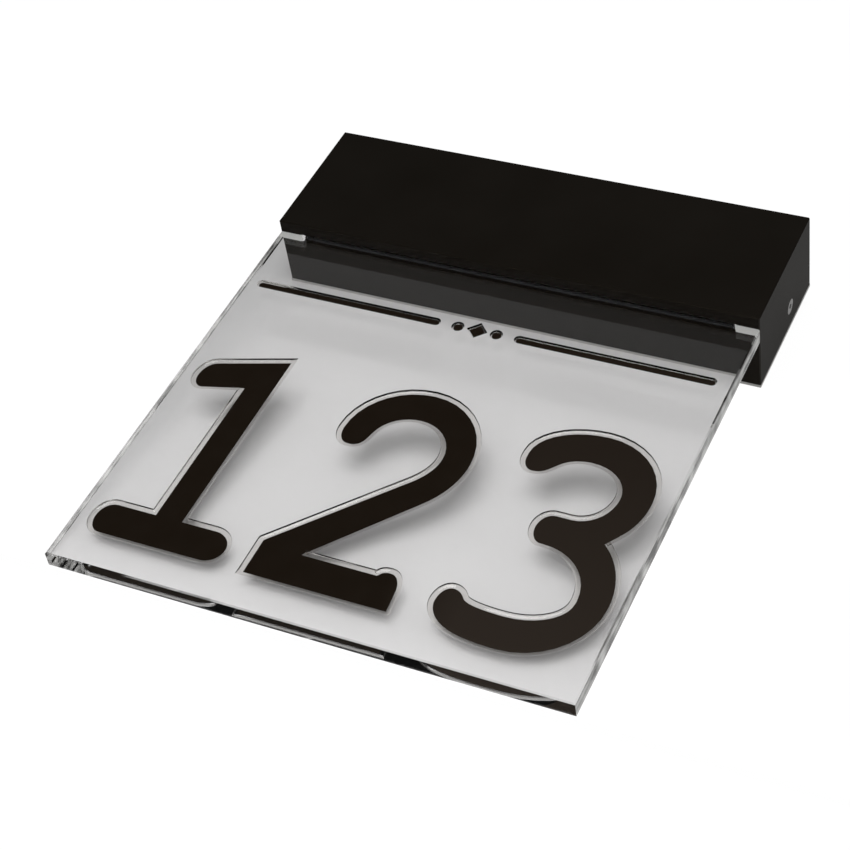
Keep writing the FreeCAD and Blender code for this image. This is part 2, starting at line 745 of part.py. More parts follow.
def led_plug():
    plug = block((plug_x - plug_wide / 2, plug_x + plug_wide / 2), (plug_front, plug_end),
                 (plug_z - plug_tall / 2, plug_z + plug_tall / 2))
    grip = block((plug_x - plug_wide / 2 - plug_grip, plug_x + plug_wide / 2 + plug_grip),
                 (plug_front, lid_front - clear_gap), (plug_z - 1, plug_z + 1))
    plug = plug.fuse(grip)
    for x in led_lead_places():
        plug = plug.cut(rod(led_lead_diameter + 2 * slide_gap, at(x, plug_front - 1, plug_z),
                            at(x, plug_front + 3, plug_z)))
    return plug


def led_lead_places():
    return [plug_x + side * led_lead_pitch / 2 for side in mirrored]


def led_leads():
    """Two leads from the plug, down through the rail's web to the board."""
    leads = []
    for x in led_lead_places():
        run = [at(x, plug_front + 2, plug_z), at(x, plate_middle, plug_z), at(x, plate_middle, board_top)]
        leads.append(lead(led_lead_diameter, run, led_lead_bend))
    return Part.makeCompound(leads)


def front_pad():
    return block((-clamp_half, clamp_half), (leaf_back, plate_front - slide_gap),
                 (clamp_height - clamp_bar_width / 2, clamp_height + clamp_bar_width / 2))


def clamp_pad():
    return block((-clamp_half, clamp_half), (clamp_pad_front, clamp_bar_front),
                 (clamp_height - clamp_bar_width / 2, clamp_height + clamp_bar_width / 2))


def clamp_bar():
    """Flat bar with a shallow dimple for each clamp screw's tip."""
    bar = block((-clamp_half, clamp_half), (clamp_bar_front, clamp_bar_back),
                (clamp_height - clamp_bar_width / 2, clamp_height + clamp_bar_width / 2))
    for x in clamp_screw_places():
        bar = bar.cut(cone(m4 * 1.1, m4 * 0.5, at(x, clamp_bar_back, clamp_height),
                           at(x, clamp_bar_back - m4 * 0.3, clamp_height)))
    return bar


def clamp_screws():
    """Set screws through the rear flange: tapered tip in the bar, hexagon socket behind."""
    screws = []
    tip = clamp_bar_back - m4 * 0.3 + slide_gap
    neck = tip + m4 * 0.3
    for x in clamp_screw_places():
        screw = cone(m4 * 0.5, m4, at(x, tip, clamp_height), at(x, neck, clamp_height))
        screw = screw.fuse(rod(m4, at(x, neck, clamp_height), at(x, tip + clamp_screw_length, clamp_height)))
        screws.append(screw.cut(hexagon(m4_socket * 0.8, at(x, tip + clamp_screw_length + 1, clamp_height),
                                        at(x, tip + clamp_screw_length - 2, clamp_height))))
    return Part.makeCompound(screws)


def slot_seal():
    """Rubber frame on the inside of the cover's underside, round the plate's tongue."""
    open_x = tongue_half + 2 * clear_gap
    open_y = (plate_front - slide_gap, plate_back + slide_gap)
    seal = block((-open_x - slot_seal_width, open_x + slot_seal_width),
                 (open_y[0] - slot_seal_width, open_y[1] + slot_seal_width),
                 (inner_under, inner_under + slot_seal_thick))
    return seal.cut(block((-open_x, open_x), open_y, (inner_under - 1, inner_under + slot_seal_thick + 1)))


# --- Number plate ---------------------------------------------------------------------------------------


def number_plate():
    """Clear plate with polished, bevelled edges and a tongue with rounded roots."""
    low = underside - plate_drop
    body = block((-half, half), (plate_front, plate_back), (low, underside))
    rim = [e for e in body.Edges if e.CenterOfMass.z < underside - 0.01 and
           min(abs(e.CenterOfMass.y - plate_front), abs(e.CenterOfMass.y - plate_back)) < 0.01]
    body = body.makeChamfer(plate_bevel, rim)
    tongue = block((-tongue_half, tongue_half), (plate_front, plate_back), (underside, tongue_top))
    body = body.fuse(tongue)
    for side in mirrored:
        root = block(sorted((side * tongue_half, side * (tongue_half + root_radius))),
                     (plate_front, plate_back), (underside, underside + root_radius))
        centre_x, centre_z = side * (tongue_half + root_radius), underside + root_radius
        root = root.cut(rod(2 * root_radius, at(centre_x, plate_front - 1, centre_z),
                            at(centre_x, plate_back + 1, centre_z)))
        body = body.fuse(root)
    return body.removeSplitter()


nodes = [
    wall_plate, end_brackets, cover_seal, cable_grommet, strain_relief, terminal_block, terminal_cages,
    terminal_screws, stud_nuts, earth_lug, earth_nut, earth_lead, mains_leads, driver_case, driver_lid,
    driver_board, driver_parts, driver_socket, housing_cover, side_screws, side_nuts, light_rail, rail_nuts,
    thermal_tape, led_board, leds, led_plug, led_leads, front_pad, clamp_pad, clamp_bar, clamp_screws,
    slot_seal, number_plate,
]

os.makedirs("parts", exist_ok=True)
for node in nodes:
    shape = node()
    shape.exportStep("parts/" + node.__name__ + ".step")
    print(f"{node.__name__}: {len(shape.Solids)} solids, {shape.Volume:.1f} mm3, valid {shape.isValid()}")
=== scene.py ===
import math

import bmesh
import bpy
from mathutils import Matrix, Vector


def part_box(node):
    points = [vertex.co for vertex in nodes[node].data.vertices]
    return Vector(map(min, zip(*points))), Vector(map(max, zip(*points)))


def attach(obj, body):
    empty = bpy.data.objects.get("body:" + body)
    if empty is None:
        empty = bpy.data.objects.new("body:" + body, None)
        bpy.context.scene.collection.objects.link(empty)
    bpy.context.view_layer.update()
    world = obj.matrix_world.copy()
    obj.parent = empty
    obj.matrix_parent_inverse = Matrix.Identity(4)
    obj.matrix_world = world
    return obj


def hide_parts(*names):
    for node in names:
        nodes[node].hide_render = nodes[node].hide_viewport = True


# Illuminated house number sign, lying on its back on a pale sheet.
# Metres. X to the right of the sign, Y into the wall, Z up along the sign.

mm = 0.001
hair = 0.01 * mm  # places nearer to each other than this are one place
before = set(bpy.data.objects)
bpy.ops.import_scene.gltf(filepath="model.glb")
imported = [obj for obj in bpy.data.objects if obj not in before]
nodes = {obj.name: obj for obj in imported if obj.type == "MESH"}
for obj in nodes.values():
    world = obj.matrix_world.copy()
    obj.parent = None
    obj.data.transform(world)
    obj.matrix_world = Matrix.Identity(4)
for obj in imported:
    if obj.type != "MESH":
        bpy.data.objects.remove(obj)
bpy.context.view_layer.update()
print("stage: frame loaded,", len(nodes), "nodes")


# shader graphs

class Reading:  # a socket's value that can be used in sums
    def __init__(self, graph, socket):
        self.graph = graph
        self.socket = socket

    def maths(self, operation, *values, clamp=False):
        settings = {"operation": operation, "use_clamp": clamp}
        return self.graph.node("ShaderNodeMath", settings, dict(enumerate(values)))

    def __add__(self, other):
        return self.maths("ADD", self, other)

    def __radd__(self, other):
        return self.maths("ADD", other, self)

    def __sub__(self, other):
        return self.maths("SUBTRACT", self, other)

    def __rsub__(self, other):
        return self.maths("SUBTRACT", other, self)

    def __mul__(self, other):
        return self.maths("MULTIPLY", self, other)

    def __rmul__(self, other):
        return self.maths("MULTIPLY", other, self)

    def __truediv__(self, other):
        return self.maths("DIVIDE", self, other)

    def __rtruediv__(self, other):
        return self.maths("DIVIDE", other, self)

    def __gt__(self, other):
        return self.maths("GREATER_THAN", self, other)

    def __lt__(self, other):
        return self.maths("LESS_THAN", self, other)

    def __abs__(self):
        return self.maths("ABSOLUTE", self)


class Graph:  # a node tree, filled by one method
    def __init__(self, tree):
        self.tree = tree
        tree.nodes.clear()

    def node(self, kind, settings=None, sockets=None, take=0):
        made = self.tree.nodes.new(kind)
        for name, value in (settings or {}).items():
            if name == "stops":
                ramp = made.color_ramp.elements
                ramp[0].position, ramp[0].color = value[0][0], (*value[0][1], 1)
                ramp[1].position, ramp[1].color = value[-1][0], (*value[-1][1], 1)
                for place, colour in value[1:-1]:
                    ramp.new(place).color = (*colour, 1)
            else:
                setattr(made, name, value)
        for name, value in (sockets or {}).items():
            if isinstance(value, Reading):
                self.tree.links.new(value.socket, made.inputs[name])
            else:
                made.inputs[name].default_value = value
        return Reading(self, made.outputs[take])

    def place(self, scale=(1, 1, 1), turn=(0, 0, 0)):  # object coordinates
        coords = self.node("ShaderNodeTexCoord", take="Object")
        if scale == (1, 1, 1) and turn == (0, 0, 0):
            return coords
        return self.node("ShaderNodeMapping", None, {"Vector": coords, "Scale": scale, "Rotation": turn})

    def axes(self):  # x, y and z of the object coordinates
        split = self.node("ShaderNodeSeparateXYZ", None, {0: self.place()})
        return [Reading(self, split.socket.node.outputs[axis]) for axis in range(3)]

    def noise(self, size, detail=2.0, scale=(1, 1, 1)):  # blotches about this size across
        return self.node("ShaderNodeTexNoise", None, {
            "Vector": self.place(scale), "Scale": 1 / size, "Detail": detail})

    def cells(self, size):
        return self.node("ShaderNodeTexVoronoi", None, {"Vector": self.place(), "Scale": 1 / size})

    def between(self, factor, low, high):  # a colour from low to high
        sockets = {0: factor}
        for place, colour in ((6, low), (7, high)):
            sockets[place] = colour if isinstance(colour, Reading) else (*colour, 1)
        return self.node("ShaderNodeMix", {"data_type": "RGBA"}, sockets, take=2)

    def spread(self, value, low, high):  # from 0..1 to low..high
        return self.node("ShaderNodeMapRange", None, {0: value, 1: 0.0, 2: 1.0, 3: low, 4: high})

    def bump(self, height, strength, depth):
        return self.node("ShaderNodeBump", None, {"Height": height, "Strength": strength, "Distance": depth})


class Finish(Graph):  # a material with one Principled surface
    sockets = {
        "colour": "Base Color", "rough": "Roughness", "metal": "Metallic", "ior": "IOR",
        "shine": "Specular IOR Level", "tint": "Specular Tint", "clear": "Transmission Weight",
        "coat": "Coat Weight", "coatRough": "Coat Roughness", "normal": "Normal",
    }

    def __init__(self, name, **constants):
        self.material = bpy.data.materials.new(name)
        self.material.use_nodes = True
        super().__init__(self.material.node_tree)
        self.output = self.tree.nodes.new("ShaderNodeOutputMaterial")
        self.surface = self.node("ShaderNodeBsdfPrincipled")
        self.link(self.surface)
        for name, value in constants.items():
            self.set(name, value)

    def link(self, shader):
        self.tree.links.new(shader.socket, self.output.inputs["Surface"])

    def set(self, name, value):
        socket = self.surface.socket.node.inputs[self.sockets[name]]
        if isinstance(value, Reading):
            self.tree.links.new(value.socket, socket)
        elif name in ("colour", "tint"):
            socket.default_value = (*value, 1)
        else:
            socket.default_value = value


def grey(level):
    return (level, level, level)


# finishes of the housing

coatLook = {
    "colour": (0.0040, 0.0031, 0.0020),
    "dusty": (0.0085, 0.0072, 0.0058),
    "tint": (1.0, 0.84, 0.66),
    "shine": 0.07,
    "rough": 0.36,
    "cloud": 50 * mm,
    "grain": 0.45 * mm,
    "peel": 2.2 * mm,
}


def satinBlackCoat():  # powder coat: fine grain over a slow orange peel
    look = coatLook
    finish = Finish("satinBlackCoat", shine=look["shine"], tint=look["tint"])
    cloud = finish.noise(look["cloud"], detail=3.0)
    grain = finish.noise(look["grain"])
    peel = finish.noise(look["peel"], detail=1.0)
    finish.set("colour", finish.between(cloud, look["colour"], look["dusty"]))
    finish.set("rough", look["rough"] + 0.10 * grain + 0.06 * cloud)
    finish.set("normal", finish.bump(grain * 0.35 + peel * 0.65, strength=0.16, depth=0.06 * mm))
    return finish.material


steelLook = {
    "colour": (0.46, 0.455, 0.44),
    "streak": (0.60, 0.595, 0.58),
    "rough": 0.26,
    "grain": 0.6 * mm,
    "smudge": 30 * mm,
}


def rolledStainless(name):  # cold rolled sheet, grain along X
    look = steelLook
    finish = Finish(name, metal=1.0)
    streaks = finish.noise(look["grain"], scale=(0.02, 1, 1))
    smudge = finish.noise(look["smudge"], detail=3.0)
    finish.set("colour", finish.between(streaks * 0.6 + smudge * 0.4, look["colour"], look["streak"]))
    finish.set("rough", look["rough"] + 0.16 * smudge)
    finish.set("normal", finish.bump(streaks, strength=0.12, depth=0.02 * mm))
    return finish.material


turnedLook = {"marks": 0.4 * mm, "tarnish": 3 * mm}


def turnedMetal(name, low, high, rough):  # turned or cold headed small pieces
    finish = Finish(name, metal=1.0)
    marks = finish.noise(turnedLook["marks"])
    tarnish = finish.noise(turnedLook["tarnish"], detail=3.0)
    finish.set("colour", finish.between(tarnish, low, high))
    finish.set("rough", rough + 0.12 * tarnish)
    finish.set("normal", finish.bump(marks, strength=0.15, depth=0.02 * mm))
    return finish.material


railLook = {
    "low": (0.62, 0.63, 0.64),
    "high": (0.74, 0.745, 0.75),
    "rough": 0.30,
    "dieLine": 0.5 * mm,
    "cloud": 20 * mm,
}


def extrudedAluminium():  # die lines run the length of the rail
    look = railLook
    finish = Finish("extrudedAluminium", metal=1.0)
    lines = finish.noise(look["dieLine"], scale=(0.004, 1, 1))
    cloud = finish.noise(look["cloud"])
    finish.set("colour", finish.between(cloud, look["low"], look["high"]))
    finish.set("rough", look["rough"] + 0.14 * lines)
    finish.set("normal", finish.bump(lines, strength=0.25, depth=0.03 * mm))
    return finish.material


foamLook = {"pore": (0.030, 0.031, 0.033), "wall": (0.075, 0.077, 0.080), "rough": 0.80, "cell": 0.9 * mm}


def cellRubber():  # closed cell foam strip
    look = foamLook
    finish = Finish("greyCellRubber", shine=0.3)
    cells = finish.cells(look["cell"])
    skin = finish.noise(4 * mm, detail=3.0)
    finish.set("colour", finish.between(cells, look["pore"], look["wall"]))
    finish.set("rough", look["rough"] + 0.15 * skin)
    finish.set("normal", finish.bump(cells, strength=0.5, depth=0.15 * mm))
    return finish.material


rubberLook = {"black": grey(0.012), "bloom": (0.032, 0.031, 0.030), "rough": 0.52}


def mouldedRubber():
    look = rubberLook
    finish = Finish("mouldedRubber", shine=0.35)
    grain = finish.noise(0.8 * mm, detail=3.0)
    bloom = finish.noise(6 * mm)
    finish.set("colour", finish.between(bloom, look["black"], look["bloom"]))
    finish.set("rough", look["rough"] + 0.22 * bloom)
    finish.set("normal", finish.bump(grain, strength=0.2, depth=0.05 * mm))
    return finish.material


def mouldedPlastic(name, low, high, rough):  # spark eroded mould texture
    finish = Finish(name, shine=0.45)
    texture = finish.noise(0.7 * mm, detail=3.0)
    flow = finish.noise(20 * mm)
    finish.set("colour", finish.between(flow, low, high))
    finish.set("rough", rough + 0.14 * texture)
    finish.set("normal", finish.bump(texture, strength=0.22, depth=0.06 * mm))
    return finish.material


# finishes of the electrics

def solderMask(name, low, high, track, pitch):  # lacquered board with its copper tracks showing through
    finish = Finish(name, coat=0.5, coatRough=0.12)
    tracks = finish.node("ShaderNodeTexBrick", {"offset": 0.5}, {
        "Vector": finish.place(turn=(math.radians(90), 0, 0)), "Scale": 1 / pitch,
        "Color1": (1, 1, 1, 1), "Color2": (1, 1, 1, 1), "Mortar": (0, 0, 0, 1),
        "Mortar Size": 0.025, "Brick Width": 1.4, "Row Height": 0.32}, take=1)
    cloth = finish.noise(1.2 * mm, detail=1.0)
    plain = finish.between(cloth, low, high)
    finish.set("colour", finish.between(tracks, plain, track))
    finish.set("rough", 0.34 + 0.12 * cloth)
    finish.set("normal", finish.bump(tracks, strength=0.3, depth=0.04 * mm))
    return finish.material


componentLook = {
    "kinds": [  # from, to and colour, as shares of the way along the board
        (0.00, 0.19, (0.02, 0.06, 0.20)),
        (0.20, 0.46, (0.012, 0.012, 0.014)),
        (0.47, 0.81, (0.62, 0.48, 0.10)),
        (0.82, 1.00, (0.010, 0.012, 0.030)),
    ],
    "dustAndSheen": grey(0.05),
}


def boardComponents():  # transformer, capacitors and choke differ in colour by their place along the board
    look = componentLook
    finish = Finish("boardComponents", shine=0.5)
    low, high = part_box("driver_parts")
    along = (finish.axes()[0] - low.x) / (high.x - low.x)
    speckle = finish.noise(0.5 * mm)
    stops = [(place, colour) for start, end, colour in look["kinds"] for place in (start, end)]
    kind = finish.node("ShaderNodeValToRGB", {"stops": stops}, {0: along})
    finish.set("colour", finish.between(speckle * 0.35, kind, look["dustAndSheen"]))
    finish.set("rough", 0.38 + 0.2 * speckle)
    finish.set("normal", finish.bump(speckle, strength=0.15, depth=0.04 * mm))
    return finish.material


def sheathedLead(name, low, high, divide=None, other=None):  # soft PVC, in the other colour past x = divide
    finish = Finish(name, shine=0.5)
    sweat = finish.noise(2.5 * mm, detail=3.0)
    colour = finish.between(sweat, low, high)
    if divide is not None:
        colour = finish.between(finish.axes()[0] > divide, colour, other)
    finish.set("colour", colour)
    finish.set("rough", 0.34 + 0.16 * sweat)
    finish.set("normal", finish.bump(finish.noise(1 * mm, detail=1.0), strength=0.1, depth=0.04 * mm))
    return finish.material


earthLook = {
    "green": (0.02, 0.20, 0.035),
    "yellow": (0.72, 0.55, 0.02),
    "pitch": 4.8 * mm,
    "greenShare": 0.62,
}


def earthSheath():  # green with a yellow stripe, as earth leads have
    look = earthLook
    finish = Finish("earthSheath", shine=0.5)
    x, y, z = finish.axes()
    along = (x * 0.6 + y + z) / look["pitch"]
    stripe = along.maths("FRACT", along) > look["greenShare"]
    sweat = finish.noise(2.5 * mm)
    finish.set("colour", finish.between(stripe, look["green"], look["yellow"]))
    finish.set("rough", 0.32 + 0.16 * sweat)
    finish.set("normal", finish.bump(sweat, strength=0.08, depth=0.04 * mm))
    return finish.material


ledLook = {
    "rim": (0.80, 0.79, 0.75),
    "phosphor": (0.86, 0.62, 0.12),
    "halfWindow": 0.95 * mm,
    "windowDepth": 0.30 * mm,
}


def ledPackage():  # white rim with the yellow phosphor in its window, which faces down
    look = ledLook
    finish = Finish("ledPackage", shine=0.6)
    low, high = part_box("leds")
    y, z = finish.axes()[1:]
    window = (z < low.z + look["windowDepth"]) * (abs(y - (low.y + high.y) / 2) < look["halfWindow"])
    phosphor = finish.noise(0.3 * mm)
    finish.set("colour", finish.between(window, look["rim"], look["phosphor"]))
    finish.set("rough", 0.30 + 0.3 * phosphor)
    finish.set("normal", finish.bump(phosphor, strength=0.1, depth=0.02 * mm))
    return finish.material


def tapeFinish():
    finish = Finish("thermalTapeFilm", shine=0.4)
    weave = finish.noise(0.7 * mm, scale=(0.4, 1, 1))
    finish.set("colour", finish.between(weave, (0.40, 0.55, 0.66), (0.56, 0.68, 0.76)))
    finish.set("rough", 0.62 + 0.2 * weave)
    finish.set("normal", finish.bump(weave, strength=0.2, depth=0.03 * mm))
    return finish.material


zinc = ((0.50, 0.52, 0.55), (0.66, 0.68, 0.70), 0.26)
green = ((0.010, 0.085, 0.035), (0.018, 0.120, 0.050), (0.03, 0.17, 0.07))
white = ((0.74, 0.75, 0.74), (0.84, 0.85, 0.84), (0.66, 0.67, 0.66))
leadsLow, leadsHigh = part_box("led_leads")
finishes = {
    "housing_cover": satinBlackCoat(),
    "wall_plate": rolledStainless("rolledStainless"),
    "end_brackets": rolledStainless("foldedStainless"),
    "cover_seal": cellRubber(),
    "cable_grommet": mouldedRubber(),
    "light_rail": extrudedAluminium(),
    "strain_relief": mouldedPlastic("blackSaddle", (0.020, 0.020, 0.021), (0.034, 0.034, 0.034), 0.42),
    "terminal_block": mouldedPlastic("naturalNylon", (0.66, 0.65, 0.60), (0.78, 0.77, 0.72), 0.34),
    "driver_socket": mouldedPlastic("whiteSocket", (0.72, 0.72, 0.70), (0.82, 0.82, 0.80), 0.30),
    "led_plug": mouldedPlastic("ivoryPlug", (0.74, 0.72, 0.64), (0.84, 0.82, 0.74), 0.28),
    "driver_case": mouldedPlastic("driverCasePlastic", (0.56, 0.56, 0.54), (0.66, 0.66, 0.64), 0.42),
    "driver_lid": mouldedPlastic("driverLidPlastic", (0.60, 0.60, 0.58), (0.70, 0.70, 0.68), 0.40),
    "terminal_cages": turnedMetal("nickelledBrass", (0.62, 0.50, 0.24), (0.74, 0.62, 0.34), 0.26),
    "terminal_screws": turnedMetal("yellowZincScrews", (0.60, 0.58, 0.50), (0.72, 0.70, 0.62), 0.28),
    "stud_nuts": turnedMetal("zincNuts", *zinc),
    "earth_nut": turnedMetal("zincEarthNut", *zinc),
    "rail_nuts": turnedMetal("zincRailNuts", *zinc),
    "side_nuts": turnedMetal("zincSideNuts", *zinc),
    "earth_lug": turnedMetal("tinnedCopper", (0.66, 0.64, 0.60), (0.80, 0.79, 0.76), 0.22),
    "side_screws": turnedMetal("stainlessScrew", (0.26, 0.255, 0.25), (0.42, 0.415, 0.41), 0.30),
    "clamp_screws": turnedMetal("stainlessClampScrew", (0.46, 0.455, 0.45), (0.60, 0.595, 0.59), 0.24),
    "driver_board": solderMask("greenMask", *green, pitch=6 * mm),
    "led_board": solderMask("whiteMask", *white, pitch=9 * mm),
    "driver_parts": boardComponents(),
    "leds": ledPackage(),
    "thermal_tape": tapeFinish(),
    "earth_lead": earthSheath(),
    "mains_leads": sheathedLead("mainsSheaths", (0.10, 0.035, 0.014), (0.13, 0.05, 0.02)),
    "led_leads": sheathedLead("lowVoltageSheaths", grey(0.012), grey(0.022),
                              divide=(leadsLow.x + leadsHigh.x) / 2, other=(0.38, 0.012, 0.010)),
}
finishes["slot_seal"] = finishes["cover_seal"]
finishes["front_pad"] = finishes["clamp_pad"] = finishes["cable_grommet"]
finishes["clamp_bar"] = finishes["light_rail"]

for name, material in finishes.items():
    node = nodes[name]
    node.data.materials.clear()
    node.data.materials.append(material)
print("stage: finishes on", len(finishes), "nodes")


# number plate with its milled and painted numerals

plateLook = {  # lengths in mm
    "pocket": 1.0,  # depth of the milling
    "cove": 2.2,  # width of the rounded wall that the cutter leaves
    "smallCove": 0.8,  # the same in the ornament
    "lip": 0.14,  # upright part of the wall, at the front face
    "cutter": 1.0,  # half of a cutter's straight part, before it is squeezed
    "shared": 0.6,  # two roundings that end nearer than this share one point
    "tongue": 23.0,  # the plate's height inside the housing
    "shoulderGap": 0.05,  # from the shoulders to the housing
    "sideMargin": 2.0,  # nothing is milled nearer to the plate's sides
    "endMargin": 3.0,  # nor nearer to its lower end and its shoulders
    "near": 1.0,  # a face's middle this near to a plane is taken as on it
    "curveSteps": 9,
    "coveSteps": 3,
    "sharpest": 28,  # degrees, past which an edge stays sharp
    "square": 0.999,  # least share of a normal along an axis, for a face that is square to that axis
    "upward": 0.9,  # the same for the shoulders, whose finish runs into their fillets at the tongue
    "flat": 0.9999,  # and for a face whose edges are kept crisp
}

# A numeral is a ring of tangent lines that meet at (x, z), with the lengths rounded off before and after the
# meeting point. The corner is in mm, and the ring in tenths of a mm from that corner, z counted down.
numeralUnit = 0.1
numeralOne = {"corner": (-115.35, -111.04), "ring": [
    (427, 58, 0, 0), (48, 176, 55, 77), (48, 330, 77, 55), (297, 266, 0, 0), (298, 1072, 0, 0),
    (45, 1072, 66, 81), (45, 1235, 81, 60), (682, 1235, 80, 82), (682, 1072, 81, 88), (427, 1072, 0, 0)]}
numeralTwo = {"corner": (-39.35, -111.04), "ring": [
    (80, 57, 293, 308), (700, 57, 312, 338), (700, 540, 145, 152), (240, 1074, 0, 0), (588, 1075, 0, 0),
    (612, 1047, 14, 22), (692, 1047, 50, 86), (706, 1235, 0, 0), (50, 1235, 0, 0), (50, 1050, 0, 0),
    (573, 478, 105, 83), (573, 213, 182, 183), (250, 213, 140, 130), (193, 434, 50, 42), (80, 434, 55, 80)]}
numeralThree = {"corner": (42.65, -111.04), "ring": [
    (90, 60, 185, 295), (687, 60, 302, 300), (687, 481, 121, 100), (583, 627, 0, 0), (718, 747, 170, 188),
    (718, 1267, 332, 340), (200, 1267, 170, 85), (47, 1180, 85, 65), (47, 1037, 73, 50), (128, 1037, 28, 38),
    (178, 1105, 40, 165), (587, 1105, 240, 155), (587, 706, 234, 242), (278, 704, 55, 80),
    (278, 545, 78, 60), (553, 547, 150, 170), (553, 220, 155, 183), (285, 220, 85, 70),
    (182, 338, 42, 35), (90, 338, 50, 70)]}

ruleLook = {  # lengths in mm
    "height": -73.0,
    "thick": 3.2,
    "ends": 112.5,
    "gap": 19.0,
    "dot": 4.4,
    "diamond": 8.0,
}


def alone(piece):  # the only one selected, and active
    bpy.ops.object.select_all(action="DESELECT")
    piece.select_set(True)
    bpy.context.view_layer.objects.active = piece


def settle(piece):  # place goes into the mesh
    alone(piece)
    bpy.ops.object.transform_apply(location=True, rotation=True, scale=True)


def roundedRing(ring, corner=(0, 0), unit=1.0, up=1):  # bezier points with their handles, in metres
    cornerX, cornerZ = corner
    meets = [Vector((cornerX + x * unit, cornerZ + z * unit * up)) * mm for x, z, *_ in ring]
    points = []
    for step, (_, _, before, after) in enumerate(ring):
        here, last, following = meets[step], meets[step - 1], meets[(step + 1) % len(ring)]
        into, out = (here - last).normalized(), (following - here).normalized()
        if not before:
            points.append((here, here, here))
            continue
        turn = into.angle(out)
        pull = 4 / 3 * math.tan(turn / 4) / math.tan(turn / 2)  # handles of a round arc
        start, end = here - into * before * unit * mm, here + out * after * unit * mm
        points.append((start, start, start + into * pull * before * unit * mm))
        points.append((end, end - out * pull * after * unit * mm, end))
    shared = plateLook["shared"] * mm
    joined = []
    for place, left, right in points:
        if joined and (place - joined[-1][0]).length < shared:
            place, left = joined[-1][0], joined.pop()[1]
        joined.append((place, left, right))
    if (joined[0][0] - joined[-1][0]).length < shared:
        joined[0] = (joined[0][0], joined.pop()[1], joined[0][2])
    return joined


def cutterFrom(points, floor, cove):  # a solid whose flat end is the pocket's floor, coved up from it
    look = plateLook
    bpy.ops.object.select_all(action="DESELECT")
    bpy.ops.curve.primitive_bezier_curve_add(location=(0, 0, 0), rotation=(math.pi / 2, 0, 0))
    piece = bpy.context.object
    piece.name = "cutter"
    curve = piece.data
    curve.dimensions = "2D"
    curve.fill_mode = "BOTH"
    curve.resolution_u = look["curveSteps"]
    curve.splines.clear()
    spline = curve.splines.new("BEZIER")
    spline.bezier_points.add(len(points) - 1)
    spline.use_cyclic_u = True
    for point, (place, left, right) in zip(spline.bezier_points, points):
        point.handle_left_type = point.handle_right_type = "FREE"
        point.co, point.handle_left, point.handle_right = (*place, 0), (*left, 0), (*right, 0)
    curve.extrude = look["cutter"] * mm
    curve.bevel_depth = cove * mm
    curve.bevel_resolution = look["coveSteps"]
    bpy.ops.object.convert(target="MESH")
    piece = bpy.context.object
    settle(piece)
    bpy.ops.object.mode_set(mode="EDIT")
    bpy.ops.mesh.select_all(action="SELECT")
    bpy.ops.mesh.remove_doubles(threshold=hair)
    bpy.ops.mesh.normals_make_consistent(inside=False)
    squeeze = (look["pocket"] - look["lip"]) / cove  # the cove becomes as high as the wall it rounds
    bpy.ops.transform.resize(value=(1, squeeze, 1), center_override=(0, 0, 0))
    shift = floor - (look["cutter"] + cove) * squeeze
    bpy.ops.transform.translate(value=(0, shift * mm, 0))
    bpy.ops.object.mode_set(mode="OBJECT")
    return piece


def bar(left, right, height, thick):  # outline with round ends
    r = thick / 2
    low, high = height - r, height + r
    return [(left, high, r, r), (left, low, r, r), (right, low, r, r), (right, high, r, r)]


def disc(x, z, width):
    r = width / 2
    return [(x - r, z + r, r, r), (x - r, z - r, r, r), (x + r, z - r, r, r), (x + r, z + r, r, r)]


def diamond(x, z, width):
    r = width / 2
    return [(x - r, z, 0, 0), (x, z - r, 0, 0), (x + r, z, 0, 0), (x, z + r, 0, 0)]


def ornament():  # two bars, with two dots and a diamond between them
    rule = ruleLook
    height, gap = rule["height"], rule["gap"]
    return [
        bar(-rule["ends"], -gap, height, rule["thick"]),
        bar(gap, rule["ends"], height, rule["thick"]),
        disc(-gap / 2, height, rule["dot"]),
        disc(gap / 2, height, rule["dot"]),
        diamond(0, height, rule["diamond"]),
    ]


def plateCopy():  # a copy of the plain plate, with its loose triangles merged
    plate = nodes["number_plate"].copy()
    plate.data = nodes["number_plate"].data.copy()
    plate.name = "numberPlate"
    plate.parent = None
    for key in list(plate.keys()):
        del plate[key]
    bpy.context.scene.collection.objects.link(plate)
    alone(plate)
    bpy.ops.object.mode_set(mode="EDIT")
    bpy.ops.mesh.select_all(action="SELECT")
    bpy.ops.mesh.remove_doubles(threshold=hair)
    bpy.ops.object.mode_set(mode="OBJECT")
    return plate


def millPlate(floor, shoulderHeight):
    look = plateLook
    plate = plateCopy()
    for vertex in plate.data.vertices:  # the shoulders stop just short of the housing
        if abs(vertex.co.z - shoulderHeight) < hair:
            vertex.co.z -= look["shoulderGap"] * mm
    cuts = [(roundedRing(numeral["ring"], numeral["corner"], numeralUnit, up=-1), look["cove"])
            for numeral in (numeralOne, numeralTwo, numeralThree)]
    cuts += [(roundedRing(ring), look["smallCove"]) for ring in ornament()]
    cutters = [cutterFrom(points, floor / mm, cove) for points, cove in cuts]
    alone(cutters[0])
    for cutter in cutters:
        cutter.select_set(True)
    bpy.ops.object.join()
    alone(plate)
    mill = plate.modifiers.new("mill", "BOOLEAN")
    mill.operation = "DIFFERENCE"
    mill.solver = "EXACT"
    mill.use_self = True  # the coved walls cross themselves by a hair in the sharpest inner corners
    mill.object = cutters[0]
    bpy.ops.object.modifier_apply(modifier="mill")
    bpy.data.objects.remove(cutters[0])
    return plate


acrylicLook = {
    "ior": 1.49,
    "glass": (0.985, 0.981, 0.981),
    "matt": (0.66, 0.635, 0.605),
    "shade": (0.948, 0.944, 0.945),  # what light keeps at each face of the plate
}


